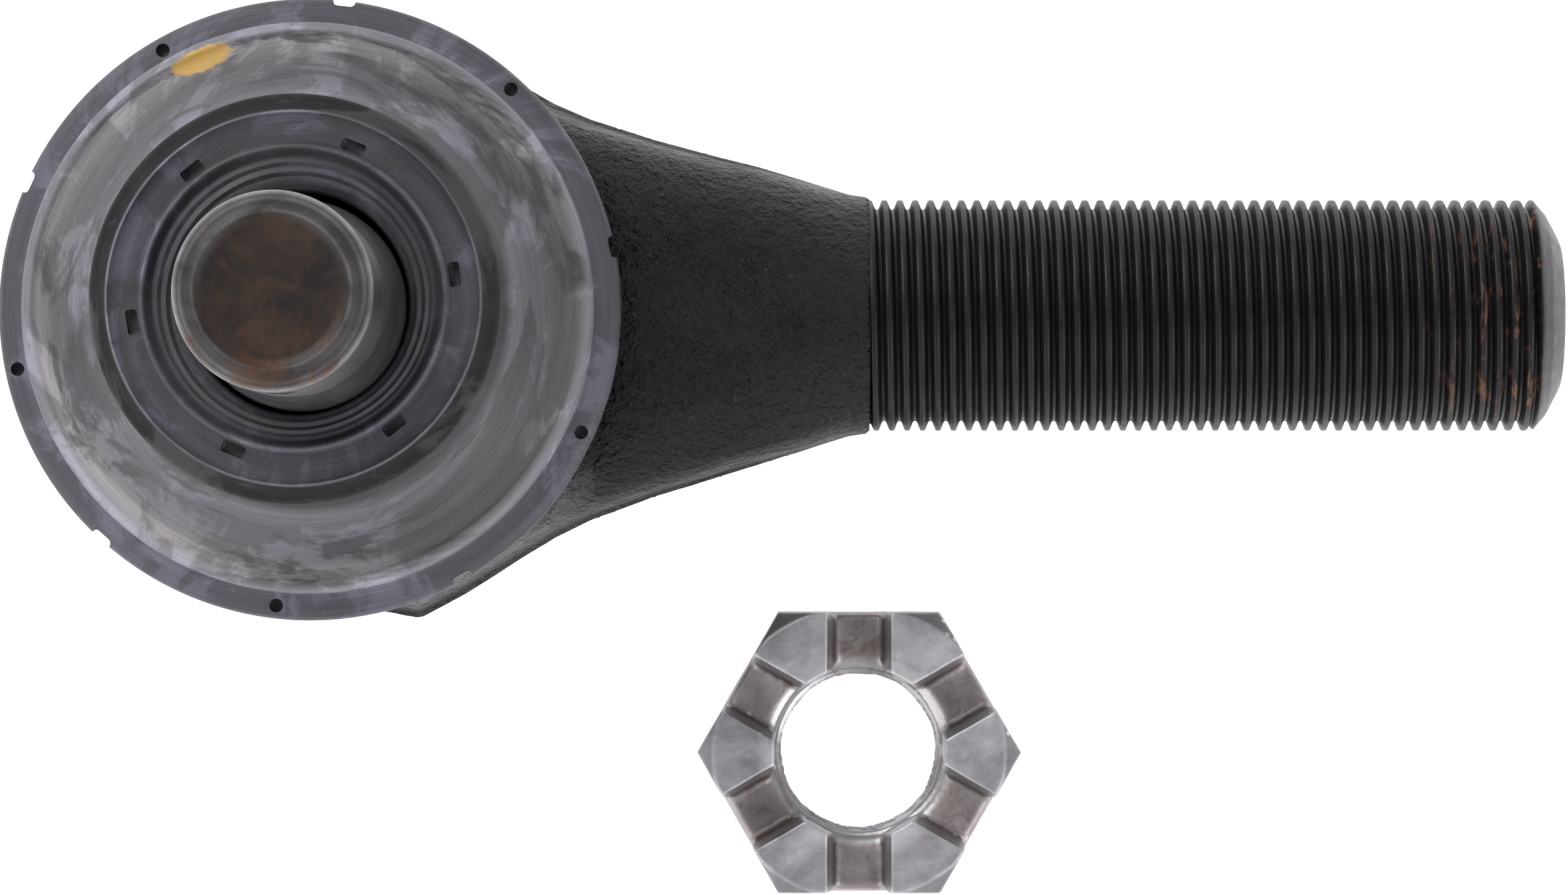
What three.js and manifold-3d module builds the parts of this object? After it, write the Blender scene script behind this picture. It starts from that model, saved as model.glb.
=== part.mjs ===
// Heavy-duty tie rod end: forged ball socket with a threaded shank, ball stud, grease-packed
// bearings, crimped end cover, rubber dust boot and a loose slotted nut.
// Millimetres, +Z up along the stud, +X along the shank. Every piece is drawn about the ball's
// centre, and the whole object is then set down with its footprint's centre at the origin.

import * as THREE from 'three';
import { mergeVertices } from 'three/addons/utils/BufferGeometryUtils.js';
import Module from 'manifold-3d';

const wasm = await Module();
wasm.setup();

// ---- driving dimensions -------------------------------------------------------------------

const GAP = 0.3;              // clearance kept between separate pieces
const ROUND = 40;             // sides of the large turned shapes
const SMALL_ROUND = 20;       // sides of the small turned shapes

const BALL_R = 18;
const BALL_FLAT_Z = -14.5;    // underside of the ball, cut flat
const BASE_Z = -33;           // plane that the socket stands on
const SOCKET_R = 38.5;        // at the parting line
const SOCKET_TOP_Z = 16.2;    // shoulder under the boot
const SEAT_R = 33;            // spigot that the boot grips
const SEAT_TOP_Z = 20.5;
const BORE_R = 24.5;          // bearing bore
const BORE_TOP_Z = 11;
const MOUTH_LOW_R = 18;       // conical mouth that the stud leans into
const MOUTH_TOP_R = 22.8;
const COVER_SEAT_R = 28.5;
const COVER_SEAT_Z = -26;
const CRIMP_R = 26.6;
const CRIMP_Z = -30.7;

const SHANK_R = 15.875;       // 1-1/4 in thread, major diameter 31.75
const SHANK_START_X = 74;
const SHANK_END_X = 170.3;
const SHANK_CHAMFER = [3.7, 5.8];   // length and drop of the bevelled tip
const FLASH = 0.5;            // half height of the forging's parting line

const NECK_TOP_Z = 16;
const STUD_NECK_R = 11.5;     // between the ball and the taper
const TAPER_LARGE_R = 13.9;   // stud taper, 1 in 8 on diameter
const TAPER_START_Z = 42;
const TAPER_END_Z = 60;
const TAPER_RATE = 1 / 16;    // of radius, along the height
const THREAD_R = 12.7;        // 1 in stud thread
const THREAD_RELIEF = 0.9;    // depth of the groove where the thread starts
const THREAD_START_Z = 62;
const STUD_END_Z = 93.5;
const STUD_CHAMFER = 1.6;     // height of the bevelled tip
const STUD_FACE_R = 10.75;
const COTTER_HOLE_R = 2.6;
const COTTER_HOLE_Z = 82;

const BOOT_R = 42;            // edge of the boot's flange
const BOOT_FLANGE_Z = [16.8, 19.3];
const BOOT_BEAD_R = 38.6;
const COLLAR_R = 26.9;
const COLLAR_Z = [30, 36.5];
const LIP_R = 14.8;
const RIM_FEATURES = 5;       // notches, and holes between them
const RIM_NOTCH_DEG = 83.7;
const RIM_HOLE_DEG = 119.6;
const RIM_HOLE_PITCH_R = 40.4;
const RIM_NOTCH = [2, 2.8, 4];      // radial, tangential and upright size of the cutter
const RIM_HOLE_R = 0.9;
const COLLAR_SLOTS = 6;
const COLLAR_SLOT_DEG = 8.4;
const COLLAR_SLOT_PITCH_R = 21.4;
const COLLAR_SLOT = [1.5, 3.3, 3];

const NUT_FLATS = 39;         // across flats
const NUT_HEIGHT = 22;
const NUT_BORE_R = 11.1;
const NUT_SLOT = [8.8, 8];    // width and depth
const NUT_TOP_R = 20.3;       // the corners are bevelled outside these circles
const NUT_FOOT_R = 18.8;
const NUT_BEVEL = 2.2;        // height of both bevels
const NUT_COUNTERBORE = 1.2;  // how far the bore widens between the lands
const NUT_CENTRE = [74.4, -60.4];

// ---- from three.js geometry to solids and back --------------------------------------------

function signedVolume(position, triangles) {
  const [a, b, c] = [new THREE.Vector3(), new THREE.Vector3(), new THREE.Vector3()];
  let sum = 0;
  for (let i = 0; i < triangles.length; i += 3) {
    a.fromBufferAttribute(position, triangles[i]);
    b.fromBufferAttribute(position, triangles[i + 1]);
    c.fromBufferAttribute(position, triangles[i + 2]);
    sum += a.dot(b.cross(c));
  }
  return sum / 6;
}

// A closed geometry becomes a solid: vertices merged, empty triangles dropped, faces turned out.
function solid(geometry) {
  geometry.deleteAttribute('normal');
  geometry.deleteAttribute('uv');
  const merged = mergeVertices(geometry, 1e-4);
  const all = merged.index.array;
  const kept = [];
  for (let i = 0; i < all.length; i += 3) {
    const [a, b, c] = [all[i], all[i + 1], all[i + 2]];
    if (a !== b && b !== c && c !== a) kept.push(a, b, c);
  }
  const position = merged.getAttribute('position');
  if (signedVolume(position, kept) < 0) kept.reverse();
  return new wasm.Manifold(new wasm.Mesh({
    numProp: 3,
    vertProperties: new Float32Array(position.array),
    triVerts: new Uint32Array(kept),
  }));
}

function geometryOf(body) {
  const mesh = body.getMesh();
  const geometry = new THREE.BufferGeometry();
  geometry.setAttribute('position', new THREE.BufferAttribute(mesh.vertProperties, 3));
  geometry.setIndex(new THREE.BufferAttribute(mesh.triVerts, 1));
  geometry.computeVertexNormals();
  return geometry;
}

// ---- shapes -------------------------------------------------------------------------------

const radians = (degrees) => THREE.MathUtils.degToRad(degrees);

// Points of an arc in the (radius, height) plane.
function arc(centreR, centreZ, radius, fromDeg, toDeg, steps = 6) {
  return Array.from({ length: steps + 1 }, (_, i) => {
    const angle = radians(fromDeg + ((toDeg - fromDeg) * i) / steps);
    return [centreR + radius * Math.cos(angle), centreZ + radius * Math.sin(angle)];
  });
}

// A (radius, height) outline turned about Z. An outline that leaves the axis is closed.
function turned(outline, sides = ROUND) {
  const points = outline.map(([r, z]) => new THREE.Vector2(r, z));
  if (outline[0][0] > 0) points.push(points[0].clone());
  return solid(new THREE.LatheGeometry(points, sides).rotateX(Math.PI / 2));
}

// A box of a radial, tangential and upright size, its centre radius from the Z axis.
function radialBox(size, radius, degrees, z) {
  const geometry = new THREE.BoxGeometry(...size).translate(radius, 0, z);
  return solid(geometry.rotateZ(radians(degrees)));
}

function uprightCylinder(radius, z0, z1, x = 0, y = 0, sides = SMALL_ROUND) {
  const geometry = new THREE.CylinderGeometry(radius, radius, z1 - z0, sides);
  return solid(geometry.rotateX(Math.PI / 2).translate(x, y, (z0 + z1) / 2));
}

// Rings of points joined into one skin, with a flat cap at each end.
function loft(rings) {
  const count = rings[0].length;
  const positions = rings.flat(2);
  const triangles = [];
  for (let i = 0; i + 1 < rings.length; i += 1) {
    for (let j = 0; j < count; j += 1) {
      const a = i * count + j;
      const b = i * count + ((j + 1) % count);
      triangles.push(a, b, b + count, a, b + count, a + count);
    }
  }
  const last = (rings.length - 1) * count;
  for (let j = 1; j + 1 < count; j += 1) {
    triangles.push(0, j + 1, j, last, last + j, last + j + 1);
  }
  const geometry = new THREE.BufferGeometry();
  geometry.setAttribute('position', new THREE.Float32BufferAttribute(positions, 3));
  geometry.setIndex(triangles);
  return solid(geometry);
}

// A wire coiled about Z, its ends left open-wound.
class Helix extends THREE.Curve {
  constructor(radius, z0, z1, turns) {
    super();
    Object.assign(this, { radius, z0, z1, turns });
  }

  getPoint(t, target = new THREE.Vector3()) {
    const angle = 2 * Math.PI * this.turns * t;
    const z = this.z0 + (this.z1 - this.z0) * t;
    return target.set(this.radius * Math.cos(angle), this.radius * Math.sin(angle), z);
  }
}

function coil(radius, wireR, z0, z1, turns) {
  const section = new THREE.Shape().absarc(0, 0, wireR, 0, 2 * Math.PI);
  return solid(new THREE.ExtrudeGeometry(section, {
    extrudePath: new Helix(radius, z0, z1, turns), steps: turns * 12, curveSegments: 3,
  }));
}

// ---- forged socket with its neck and shank ------------------------------------------------

// Neck stations: x, half width, top, bottom and squareness of the section.
const NECK = [
  [0, 37.5, NECK_TOP_Z - 1, -27, 5],
  [7, 39.5, NECK_TOP_Z - 1, -26.6, 4.8],
  [14, 40.6, NECK_TOP_Z - 1, -26, 4.5],
  [20, 37.4, NECK_TOP_Z - 0.6, -25, 4.2],
  [27.2, 33, NECK_TOP_Z - 0.3, -23.6, 4],
  [32.3, 30, NECK_TOP_Z, -22.4, 3.6],
  [37.3, 27.6, NECK_TOP_Z, -21.4, 3.3],
  [45.8, 24.4, NECK_TOP_Z, -19.6, 2.9],
  [56, 21.4, NECK_TOP_Z, -17.9, 2.5],
  [66.1, 18.7, NECK_TOP_Z, -16.8, 2.2],
  [72.9, 17.1, NECK_TOP_Z + 0.3, -16.4, 2],
  [76, 16.2, NECK_TOP_Z, -16.1, 2],
];

function neckRing([x, halfWidth, top, bottom, squareness]) {
  const corners = 36;
  return Array.from({ length: corners }, (_, i) => {
    const angle = (2 * Math.PI * i) / corners;
    const [c, s] = [Math.cos(angle), Math.sin(angle)];
    const bend = 2 / squareness;
    const y = halfWidth * Math.sign(c) * Math.abs(c) ** bend;
    const z = (s > 0 ? top : -bottom) * Math.sign(s) * Math.abs(s) ** bend;
    return [x, y, z];
  });
}

function socketOuter() {
  return turned([
    [0, BASE_Z],
    [35.5, BASE_Z],
    ...arc(35.2, BASE_Z + 2, 2, -80, 0, 4),
    [SOCKET_R - 0.6, -FLASH * 4],
    [SOCKET_R, -FLASH],
    [SOCKET_R, FLASH],
    [SOCKET_R - 0.5, FLASH * 4],
    ...arc(35.6, SOCKET_TOP_Z - 1.8, 1.8, 0, 90, 4),
    [SEAT_R, SOCKET_TOP_Z],
    [SEAT_R, SEAT_TOP_Z - 0.6],
    [SEAT_R - 0.6, SEAT_TOP_Z],
    [0, SEAT_TOP_Z],
  ]);
}

function socketInner() {
  return turned([
    [0, BASE_Z - 1],
    [29.6, BASE_Z - 1],
    [29, BASE_Z],
    [CRIMP_R, CRIMP_Z - 0.6],
    [CRIMP_R, CRIMP_Z],
    [COVER_SEAT_R, CRIMP_Z],
    [COVER_SEAT_R, COVER_SEAT_Z],
    [BORE_R, COVER_SEAT_Z],
    [BORE_R, BORE_TOP_Z],
    [MOUTH_LOW_R, BORE_TOP_Z],
    [MOUTH_TOP_R, SEAT_TOP_Z],
    [MOUTH_TOP_R, SEAT_TOP_Z + 1],
    [0, SEAT_TOP_Z + 1],
  ]);
}

function shank() {
  const [length, drop] = SHANK_CHAMFER;
  const profile = [
    [0, SHANK_START_X],
    [SHANK_R, SHANK_START_X],
    [SHANK_R, SHANK_END_X - length],
    [SHANK_R - 0.35 * drop, SHANK_END_X - 0.4 * length],
    [SHANK_R - drop, SHANK_END_X],
    [0, SHANK_END_X],
  ];
  return turned(profile).rotate([0, 90, 0]);
}

function socketHousing() {
  return socketOuter().add(loft(NECK.map(neckRing))).add(shank()).subtract(socketInner());
}

// ---- inside the socket --------------------------------------------------------------------

const BEARING_R = BORE_R - GAP;
const CUP_R = BALL_R + GAP;
const cupZ = (r) => Math.sqrt(CUP_R ** 2 - r ** 2);

function sphereRun(radius, fromR, toR, sign, steps = 6) {
  const [a, b] = [Math.acos(fromR / radius), Math.acos(toR / radius)];
  return Array.from({ length: steps + 1 }, (_, i) => {
    const angle = a + ((b - a) * i) / steps;
    return [radius * Math.cos(angle), sign * radius * Math.sin(angle)];
  });
}

function upperBearing() {
  return turned([
    ...sphereRun(CUP_R, 18.26, 16.1, 1),
    [17.4, BORE_TOP_Z - GAP],
    [BEARING_R, BORE_TOP_Z - GAP],
    [BEARING_R, cupZ(18.26)],
  ]);
}

function lowerBearing() {
  return turned([
    ...sphereRun(CUP_R, 18.26, 5, -1),
    [5, -20],
    [BEARING_R - 1, -20],
    [BEARING_R, -19],
    [BEARING_R, -cupZ(18.26)],
  ]);
}

function preloadSpring() {
  return turned([[10, -22.7], [22, -21.9], [22, -20.3], [10, -21.1]]);
}

function coverSeal() {
  const inner = 25;
  const outer = COVER_SEAT_R - GAP;
  const [low, high] = [COVER_SEAT_Z - 1.5, COVER_SEAT_Z - GAP];
  return turned([[inner, low], [outer, low], [outer, high], [inner, high]]);
}

function endCover() {
  const rimR = COVER_SEAT_R - GAP;
  const [rimLow, rimHigh] = [CRIMP_Z + GAP, COVER_SEAT_Z - 1.8];
  const [dishLow, dishHigh] = [-26, -23.2];
  return turned([
    [5.2, dishLow], [15, dishLow], [21, rimLow], [rimR, rimLow],
    [rimR, rimHigh], [22.6, rimHigh], [16.6, dishHigh], [5.2, dishHigh],
  ]);
}

function hexPrism(acrossFlats, z0, z1) {
  const outline = new THREE.Shape();
  for (let i = 0; i < 6; i += 1) {
    const corner = acrossFlats / Math.sqrt(3);
    const point = [corner * Math.cos(radians(60 * i)), corner * Math.sin(radians(60 * i))];
    if (i === 0) outline.moveTo(...point);
    else outline.lineTo(...point);
  }
  outline.closePath();
  const options = { depth: z1 - z0, bevelEnabled: false };
  return solid(new THREE.ExtrudeGeometry(outline, options).translate(0, 0, z0));
}

const FITTING_MOUTH_Z = -32.4;

function greaseFitting() {
  const barrel = turned([
    [0, FITTING_MOUTH_Z], [2.2, FITTING_MOUTH_Z], [3.2, FITTING_MOUTH_Z + 1],
    [3.2, -30.6], [2.5, -30], [2.5, -29], [4.9, -28.6], [4.9, -22.4], [0, -22.4],
  ], SMALL_ROUND);
  const hex = hexPrism(11.1, -29, -26.3);
  const channel = turned([
    [0, FITTING_MOUTH_Z - 1], [0.9, FITTING_MOUTH_Z - 1], [0.9, FITTING_MOUTH_Z + 0.5],
    [1.8, FITTING_MOUTH_Z + 1.4], [1.8, -21], [0, -21],
  ], SMALL_ROUND);
  return barrel.add(hex).subtract(channel);
}

const CHECK_BALL_R = 1.35;
const CHECK_BALL_Z = FITTING_MOUTH_Z + 2.6;

function greaseCheckBall() {
  return solid(new THREE.SphereGeometry(CHECK_BALL_R, 16, 10).translate(0, 0, CHECK_BALL_Z));
}

function greaseCheckSpring() {
  return coil(1.1, 0.25, CHECK_BALL_Z + CHECK_BALL_R + 0.6, -23, 5);
}

// ---- ball stud ----------------------------------------------------------------------------

function ballStud() {
  const flatR = Math.sqrt(BALL_R ** 2 - BALL_FLAT_Z ** 2);
  const profile = turned([
    [0, BALL_FLAT_Z],
    ...sphereRun(BALL_R, flatR, 17.999, -1),
    ...sphereRun(BALL_R, 17.999, STUD_NECK_R, 1, 5),
    [STUD_NECK_R, 20],
    [TAPER_LARGE_R, 30],
    [TAPER_LARGE_R, TAPER_START_Z],
    [TAPER_LARGE_R - (TAPER_END_Z - TAPER_START_Z) * TAPER_RATE, TAPER_END_Z],
    [THREAD_R - THREAD_RELIEF, TAPER_END_Z + 0.6],
    [THREAD_R - THREAD_RELIEF, THREAD_START_Z - 0.6],
    [THREAD_R, THREAD_START_Z],
    [THREAD_R, STUD_END_Z - STUD_CHAMFER],
    [STUD_FACE_R, STUD_END_Z],
    [0, STUD_END_Z],
  ]);
  const hole = new THREE.CylinderGeometry(COTTER_HOLE_R, COTTER_HOLE_R, 40, 20);
  return profile.subtract(solid(hole.translate(0, 0, COTTER_HOLE_Z)));
}

// ---- rubber boot --------------------------------------------------------------------------

// The notched flange ring that clamps the boot's foot.
function bootFlange() {
  const [low, high] = BOOT_FLANGE_Z;
  const inner = SEAT_R + 0.4;
  let ring = turned([
    [inner, low], [BOOT_R - 0.6, low], [BOOT_R, low + 0.6],
    [BOOT_R, high - 0.8], [BOOT_R - 0.8, high], [inner, high],
  ]);
  for (let i = 0; i < RIM_FEATURES; i += 1) {
    const turn = (360 / RIM_FEATURES) * i;
    ring = ring.subtract(radialBox(RIM_NOTCH, BOOT_R + 0.2, RIM_NOTCH_DEG + turn, high - 1));
    const angle = radians(RIM_HOLE_DEG + turn);
    const at = [RIM_HOLE_PITCH_R * Math.cos(angle), RIM_HOLE_PITCH_R * Math.sin(angle)];
    ring = ring.subtract(uprightCylinder(RIM_HOLE_R, low + 0.8, high + 1, ...at, 12));
  }
  return ring;
}

// The rubber skirt between the flange and the collar.
function bootSkirt() {
  const foot = BOOT_FLANGE_Z[1] + GAP;
  return turned([
    [SEAT_R + 0.4, foot],
    [BOOT_BEAD_R - 0.6, foot],
    ...arc(BOOT_BEAD_R - 1.7, foot + 1.6, 1.7, -50, 130, 6),
    [34.8, foot + 2.6],
    [31.6, 23.8],
    [28.8, 26.2],
    [27, 29.6],
    [24.4, 29.6],
    [26.2, 25.8],
    [29.4, 22.8],
    [SEAT_R + 0.4, 20.9],
  ]);
}

const INSERT_R = [17.5, 24];
const INSERT_Z = [COLLAR_Z[0] + 0.1, COLLAR_Z[0] + 2.3];

// The collar that grips the stud, with a channel below for its steel ring.
function bootCollar() {
  const [low, high] = COLLAR_Z;
  const channelTop = INSERT_Z[1] + GAP;
  const [channelIn, channelOut] = [INSERT_R[0] - GAP, INSERT_R[1] + GAP];
  let collar = turned([
    [LIP_R, low], [channelIn, low], [channelIn, channelTop], [channelOut, channelTop],
    [channelOut, low], [COLLAR_R - 0.5, low], [COLLAR_R, low + 0.5],
    [COLLAR_R, high - 1.6], [COLLAR_R - 1.2, high - 0.6], [20.4, high],
    [LIP_R + 0.8, high - 0.6], [LIP_R, high - 1.4],
  ]);
  for (let i = 0; i < COLLAR_SLOTS; i += 1) {
    const degrees = COLLAR_SLOT_DEG + (360 / COLLAR_SLOTS) * i;
    collar = collar.subtract(radialBox(COLLAR_SLOT, COLLAR_SLOT_PITCH_R, degrees, high + 0.3));
  }
  return collar;
}

function collarInsert() {
  const [[inner, outer], [low, high]] = [INSERT_R, INSERT_Z];
  return turned([[inner, low], [outer, low], [outer, high], [inner, high]]);
}

// ---- slotted nut --------------------------------------------------------------------------

function castleNut() {
  const corner = NUT_FLATS / Math.sqrt(3);
  const [width, depth] = NUT_SLOT;
  const blank = turned([
    [0, 0], [NUT_FOOT_R, 0], [corner + 0.2, NUT_BEVEL],
    [corner + 0.2, NUT_HEIGHT - NUT_BEVEL], [NUT_TOP_R, NUT_HEIGHT], [0, NUT_HEIGHT],
  ]);
  const wideR = NUT_BORE_R + NUT_COUNTERBORE;
  const hole = turned([
    [0, -1], [NUT_BORE_R + 2.4, -1], [NUT_BORE_R, 1.4], [NUT_BORE_R, NUT_HEIGHT - depth - 1],
    [wideR, NUT_HEIGHT - depth + 0.4], [wideR, NUT_HEIGHT + 1], [0, NUT_HEIGHT + 1],
  ]);
  let nut = hexPrism(NUT_FLATS, 0, NUT_HEIGHT).intersect(blank).subtract(hole);
  for (const degrees of [30, 90, 150]) {
    const slot = new THREE.BoxGeometry(60, width, depth * 2).rotateZ(radians(degrees));
    nut = nut.subtract(solid(slot.translate(0, 0, NUT_HEIGHT)));
  }
  return nut.translate([...NUT_CENTRE, BASE_Z]);
}

// ---- materials and assembly ---------------------------------------------------------------

function material(color, roughness, metalness) {
  return new THREE.MeshStandardMaterial({ color, roughness, metalness });
}

const PIECES = [
  ['socket_housing', socketHousing, material('#1b1b1d', 0.45, 0.2)],
  ['upper_bearing', upperBearing, material('#4a4a48', 0.4, 0.9)],
  ['lower_bearing', lowerBearing, material('#4a4a48', 0.4, 0.9)],
  ['preload_spring', preloadSpring, material('#5c5d60', 0.35, 1)],
  ['cover_seal', coverSeal, material('#151515', 0.8, 0)],
  ['end_cover', endCover, material('#222224', 0.5, 0.3)],
  ['grease_fitting', greaseFitting, material('#9c9a8e', 0.35, 1)],
  ['grease_check_ball', greaseCheckBall, material('#b0b2b5', 0.2, 1)],
  ['grease_check_spring', greaseCheckSpring, material('#8c8e92', 0.3, 1)],
  ['boot_flange', bootFlange, material('#2a2a2c', 0.6, 0)],
  ['boot_skirt', bootSkirt, material('#4b4a4a', 0.8, 0)],
  ['boot_collar', bootCollar, material('#303032', 0.7, 0)],
  ['collar_insert', collarInsert, material('#6a6c70', 0.4, 1)],
  ['ball_stud', ballStud, material('#55524e', 0.45, 0.9)],
  ['castle_nut', castleNut, material('#8a8a88', 0.4, 0.9)],
];

// Footprint: the boot's rim on the left, the shank's tip, and the nut's near flat.
const FOOTPRINT_X = [-BOOT_R, SHANK_END_X];
const FOOTPRINT_Y = [NUT_CENTRE[1] - NUT_FLATS / 2, BOOT_R];
const middle = ([low, high]) => (low + high) / 2;

const tieRodEnd = new THREE.Group();
tieRodEnd.position.set(-middle(FOOTPRINT_X), -middle(FOOTPRINT_Y), -BASE_Z);
for (const [name, build, look] of PIECES) {
  const piece = new THREE.Mesh(geometryOf(build()), look);
  piece.name = name;
  tieRodEnd.add(piece);
}

export default tieRodEnd;
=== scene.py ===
"""Looks for the heavy-duty tie rod end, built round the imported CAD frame.

Shapes are written in millimetres about the ball's centre, as (x, y, z) or as (radius, height)
outlines turned about Z, and are set down at the CAD ball stud's place when they become objects.
"""

import itertools
import math

import bmesh
import bpy
import numpy as np
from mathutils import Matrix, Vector


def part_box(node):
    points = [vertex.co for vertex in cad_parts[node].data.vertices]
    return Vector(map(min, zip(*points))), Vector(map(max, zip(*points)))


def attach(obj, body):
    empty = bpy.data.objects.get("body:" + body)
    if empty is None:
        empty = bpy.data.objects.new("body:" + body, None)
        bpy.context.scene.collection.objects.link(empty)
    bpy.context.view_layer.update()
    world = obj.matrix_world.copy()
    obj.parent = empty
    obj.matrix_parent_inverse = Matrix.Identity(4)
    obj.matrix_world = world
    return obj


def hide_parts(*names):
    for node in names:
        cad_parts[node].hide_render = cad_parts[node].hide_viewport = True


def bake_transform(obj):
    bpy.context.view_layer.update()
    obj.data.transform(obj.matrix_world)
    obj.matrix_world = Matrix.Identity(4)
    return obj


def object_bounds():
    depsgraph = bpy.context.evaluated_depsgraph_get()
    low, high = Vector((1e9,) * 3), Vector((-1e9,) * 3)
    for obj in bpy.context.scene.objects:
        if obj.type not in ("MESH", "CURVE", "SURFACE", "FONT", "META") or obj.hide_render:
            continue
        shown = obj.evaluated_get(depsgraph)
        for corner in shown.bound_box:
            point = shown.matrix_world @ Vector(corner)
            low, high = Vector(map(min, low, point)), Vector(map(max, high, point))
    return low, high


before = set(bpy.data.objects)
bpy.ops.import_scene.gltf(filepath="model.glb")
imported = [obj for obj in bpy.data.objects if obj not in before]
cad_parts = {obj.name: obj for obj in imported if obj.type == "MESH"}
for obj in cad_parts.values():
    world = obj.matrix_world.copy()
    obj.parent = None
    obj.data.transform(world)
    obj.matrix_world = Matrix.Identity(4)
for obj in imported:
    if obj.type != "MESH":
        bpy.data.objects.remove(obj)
CAD_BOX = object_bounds()

# ---- places and sizes ---------------------------------------------------------------------

MM = 0.001
BALL_FLAT_Z = -14.5                      # the ball's flat underside, below its centre
STUD_LOW, STUD_HIGH = (Vector(c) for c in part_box("ball_stud"))
BALL = Vector(((STUD_LOW.x + STUD_HIGH.x) / 2, (STUD_LOW.y + STUD_HIGH.y) / 2,
               STUD_LOW.z - BALL_FLAT_Z * MM))


def local(node):
    """A CAD node's box in millimetres about the ball's centre."""
    return [(Vector(corner) - BALL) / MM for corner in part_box(node)]


BASE_Z = local("socket_housing")[0].z
SHANK_END_X = local("socket_housing")[1].x
STUD_END_Z = local("ball_stud")[1].z
COTTER_HOLE_Z = 82.0
NUT_LOW, NUT_HIGH = local("castle_nut")
FLANGE_LOW, FLANGE_HIGH = local("boot_flange")
COLLAR_LOW, COLLAR_HIGH = local("boot_collar")

BOOT_R = FLANGE_HIGH.x
COLLAR_R = COLLAR_HIGH.x + 0.4           # the rubber bulges a little past the plain CAD disc
SHANK_R = 15.85
SHANK_START_X = 74.0
SHANK_PITCH = 25.4 / 12
STUD_PITCH = 25.4 / 14
THREAD_DEPTH = 0.6134                    # of the pitch, on a unified outside thread

RIM_SHIFT = (0.0, 0.2)                   # the boot's foot and its collar sit a little off centre
COLLAR_SHIFT = (-1.1, 1.1)
BORE_SHIFT = (-0.6, 0.5)                 # the collar's lip stays nearer the stud
LIP_R = (15.5, 19.5)                     # between these radii BORE_SHIFT gives way to COLLAR_SHIFT
DAB_R = 36.6                             # paint dab on the boot
DAB_DEGREES = 113.0
DAB_SIZE = (4.4, 1.7)                    # half length and half width

# ---- camera and light ---------------------------------------------------------------------

CAMERA_DISTANCE = 1.010
CAMERA_TILT = 0.9                        # degrees from straight down, towards the near side
LENS = 168.8
WORLD_LEVELS = ((0.10, 0.95), (0.90, 0.22))   # height of a direction, and how bright it is there


def add_camera():
    data = bpy.data.cameras.new("camera")
    data.lens = LENS
    data.sensor_width = 36.0
    data.clip_end = 10
    camera = bpy.data.objects.new("camera", data)
    bpy.context.scene.collection.objects.link(camera)
    target = Vector((-0.0002, 0.0008, BALL.z))
    tilt = math.radians(CAMERA_TILT)
    camera.location = target + CAMERA_DISTANCE * Vector((0, -math.sin(tilt), math.cos(tilt)))
    camera.rotation_euler = (tilt, 0, 0)
    bpy.context.scene.camera = camera
    bpy.context.scene.view_settings.view_transform = "Standard"


def add_light(name, place, power, size, aim=(0, 0, 0.03)):
    data = bpy.data.lights.new(name, "AREA")
    data.energy = power
    data.shape = "DISK"
    data.size = size
    lamp = bpy.data.objects.new(name, data)
    lamp.location = place
    lamp.rotation_euler = (Vector(aim) - Vector(place)).to_track_quat("-Z", "Y").to_euler()
    bpy.context.scene.collection.objects.link(lamp)


def add_world():
    world = bpy.data.worlds.new("studio")
    bpy.context.scene.world = world
    world.use_nodes = True
    nodes, links = world.node_tree.nodes, world.node_tree.links
    place = nodes.new("ShaderNodeTexCoord")
    height = nodes.new("ShaderNodeSeparateXYZ")
    ramp = nodes.new("ShaderNodeValToRGB")
    for element, (position, level) in zip(ramp.color_ramp.elements, WORLD_LEVELS):
        element.position = position
        element.color = (level, level, level * 1.02, 1)
    links.new(place.outputs["Generated"], height.inputs[0])
    links.new(height.outputs["Z"], ramp.inputs["Fac"])
    links.new(ramp.outputs["Color"], nodes["Background"].inputs["Color"])
    nodes["Background"].inputs["Strength"].default_value = 1.0


add_camera()
add_world()
add_light("key", (-0.60, 0.75, 0.80), 9, 0.90)
add_light("fill", (0.75, -0.55, 0.80), 6, 0.90)
add_light("side", (-0.70, -0.60, 0.60), 4, 0.90)
FLOOR_GLOW = 0.90                        # the table is lit from below, as a light table is

# ---- mesh helpers -------------------------------------------------------------------------


def new_object(name, points, faces, smooth=True):
    """An object from points in millimetres about the ball's centre."""
    mesh = bpy.data.meshes.new(name)
    placed = np.asarray(points, dtype=float) * MM + np.array(BALL)
    mesh.from_pydata([tuple(p) for p in placed], [], [tuple(map(int, f)) for f in faces])
    mesh.validate()
    mesh.polygons.foreach_set("use_smooth", [smooth] * len(mesh.polygons))
    piece = bpy.data.objects.new(name, mesh)
    bpy.context.scene.collection.objects.link(piece)
    return piece


def weld(piece, distance=0.002):
    """Merges points that meet and turns the faces outwards."""
    bm = bmesh.new()
    bm.from_mesh(piece.data)
    bmesh.ops.remove_doubles(bm, verts=bm.verts, dist=distance * MM)
    bmesh.ops.recalc_face_normals(bm, faces=bm.faces)
    bm.to_mesh(piece.data)
    bm.free()
    return piece


def arc(centre_r, centre_z, radius, start, end, steps=8):
    """Points of an arc in the (radius, height) plane, angles in degrees."""
    angles = np.radians(np.linspace(start, end, steps + 1))
    return [(centre_r + radius * math.cos(a), centre_z + radius * math.sin(a)) for a in angles]


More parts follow.
